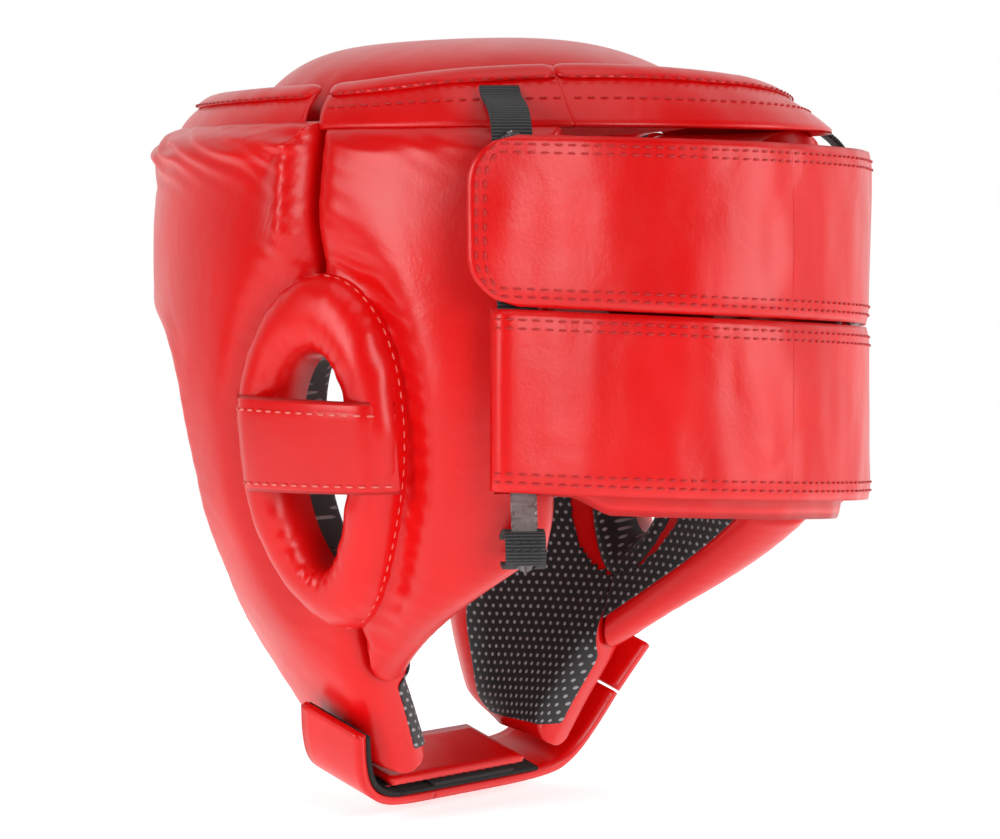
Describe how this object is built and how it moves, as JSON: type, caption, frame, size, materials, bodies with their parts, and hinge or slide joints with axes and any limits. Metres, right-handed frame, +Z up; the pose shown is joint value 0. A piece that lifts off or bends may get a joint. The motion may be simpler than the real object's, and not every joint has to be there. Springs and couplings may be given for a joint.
{
  "type": "boxing headgear",
  "caption": "Padded leather boxing headgear with forehead and cheek panel, ear rolls, crown pad, two overlapping back straps on clear bars and a chin strap.",
  "frame": {"origin": "centre of the head space at the height of the ears", "axes": "+Z up towards the crown, -Y towards the face opening, +X to the wearer's left"},
  "size_m": [0.2078, 0.243, 0.2471],
  "materials": {
    "red_leather": "smooth glossy grained leather, bright red",
    "pad_foam": "closed-cell padding foam, pale grey",
    "lining_textile": "black textile with small raised pale dots",
    "webbing": "black ribbed webbing",
    "clear_plastic": "clear grey moulded strip",
    "hook_tape": "black hook tape",
    "loop_tape": "black loop tape"
  },
  "bodies": {
    "shell": {"chin_strap_anchor": "red_leather", "chin_strap_short_root": "red_leather", "crown_pad_hinge_tongue": "red_leather", "crown_pad_landing_tongue": "red_leather", "front_cover": "red_leather", "front_crown_binding": "red_leather", "front_crown_flap": "red_leather", "front_foam": "pad_foam", "front_lining": "lining_textile", "left_crown_binding": "red_leather", "left_crown_flap": "red_leather", "left_ear_roll_cover": "red_leather", "left_ear_roll_foam": "pad_foam", "left_ear_roll_lining": "lining_textile", "left_ear_strap": "red_leather", "left_lower_keeper": "webbing", "left_side_cover": "red_leather", "left_side_foam": "pad_foam", "left_side_lining": "lining_textile", "left_strap_bar": "clear_plastic", "left_upper_keeper": "webbing", "lower_strap_inner_pass": "red_leather", "lower_strap_loop_patch": "loop_tape", "rear_crown_binding": "red_leather", "rear_crown_flap": "red_leather", "right_crown_binding": "red_leather", "right_crown_flap": "red_leather", "right_ear_roll_cover": "red_leather", "right_ear_roll_foam": "pad_foam", "right_ear_roll_lining": "lining_textile", "right_ear_strap": "red_leather", "right_lower_keeper": "webbing", "right_side_cover": "red_leather", "right_side_foam": "pad_foam", "right_side_lining": "lining_textile", "right_strap_bar": "clear_plastic", "right_upper_keeper": "webbing", "upper_strap_inner_pass": "red_leather", "upper_strap_loop_patch": "loop_tape"},
    "upper_strap": {"upper_strap_band": "red_leather"},
    "upper_tab": {"upper_strap_tab": "red_leather", "upper_strap_hook_patch": "hook_tape"},
    "lower_strap": {"lower_strap_band": "red_leather"},
    "lower_tab": {"lower_strap_tab": "red_leather", "lower_strap_hook_patch": "hook_tape"},
    "chin_strap": {"chin_strap_long": "red_leather", "chin_strap_loop_patch": "loop_tape"},
    "chin_tip": {"chin_strap_tip": "red_leather"},
    "chin_short": {"chin_strap_short": "red_leather", "chin_strap_hook_patch": "hook_tape"},
    "crown_pad": {"crown_pad_cover": "red_leather", "crown_pad_foam": "pad_foam", "crown_pad_lining": "lining_textile", "crown_pad_rear_tab": "red_leather"}
  },
  "joints": [
    {"name": "upper_strap_swing", "type": "hinge", "parent": "shell", "child": "upper_strap", "pos_m": [-0.09172, 0.07779, 0.0625], "axis": [0, 0, 1], "range_deg": [0, 100]},
    {"name": "upper_tab_peel", "type": "hinge", "parent": "upper_strap", "child": "upper_tab", "pos_m": [0.02769, 0.11829, 0.0625], "axis": [0, 0, 1], "range_deg": [0, 70]},
    {"name": "lower_strap_swing", "type": "hinge", "parent": "shell", "child": "lower_strap", "pos_m": [0.09172, 0.07779, 0.0055], "axis": [0, 0, -1], "range_deg": [0, 100]},
    {"name": "lower_tab_peel", "type": "hinge", "parent": "lower_strap", "child": "lower_tab", "pos_m": [-0.03222, 0.11724, 0.0055], "axis": [0, 0, -1], "range_deg": [0, 70]},
    {"name": "chin_strap_swing", "type": "hinge", "parent": "shell", "child": "chin_strap", "pos_m": [-0.066, -0.01016, -0.09121], "axis": [0, 0.9397, -0.342], "range_deg": [0, 95]},
    {"name": "chin_tip_peel", "type": "hinge", "parent": "chin_strap", "child": "chin_tip", "pos_m": [0.04385, -0.0198, -0.11771], "axis": [0, 0.9397, -0.342], "range_deg": [0, 60]},
    {"name": "chin_short_swing", "type": "hinge", "parent": "shell", "child": "chin_short", "pos_m": [0.027, -0.0171, -0.11028], "axis": [0, 0.9397, -0.342], "range_deg": [0, 35]},
    {"name": "crown_pad_lift", "type": "hinge", "parent": "shell", "child": "crown_pad", "pos_m": [0, -0.082, 0.098], "axis": [1, 0, 0], "range_deg": [0, 70]}
  ]
}
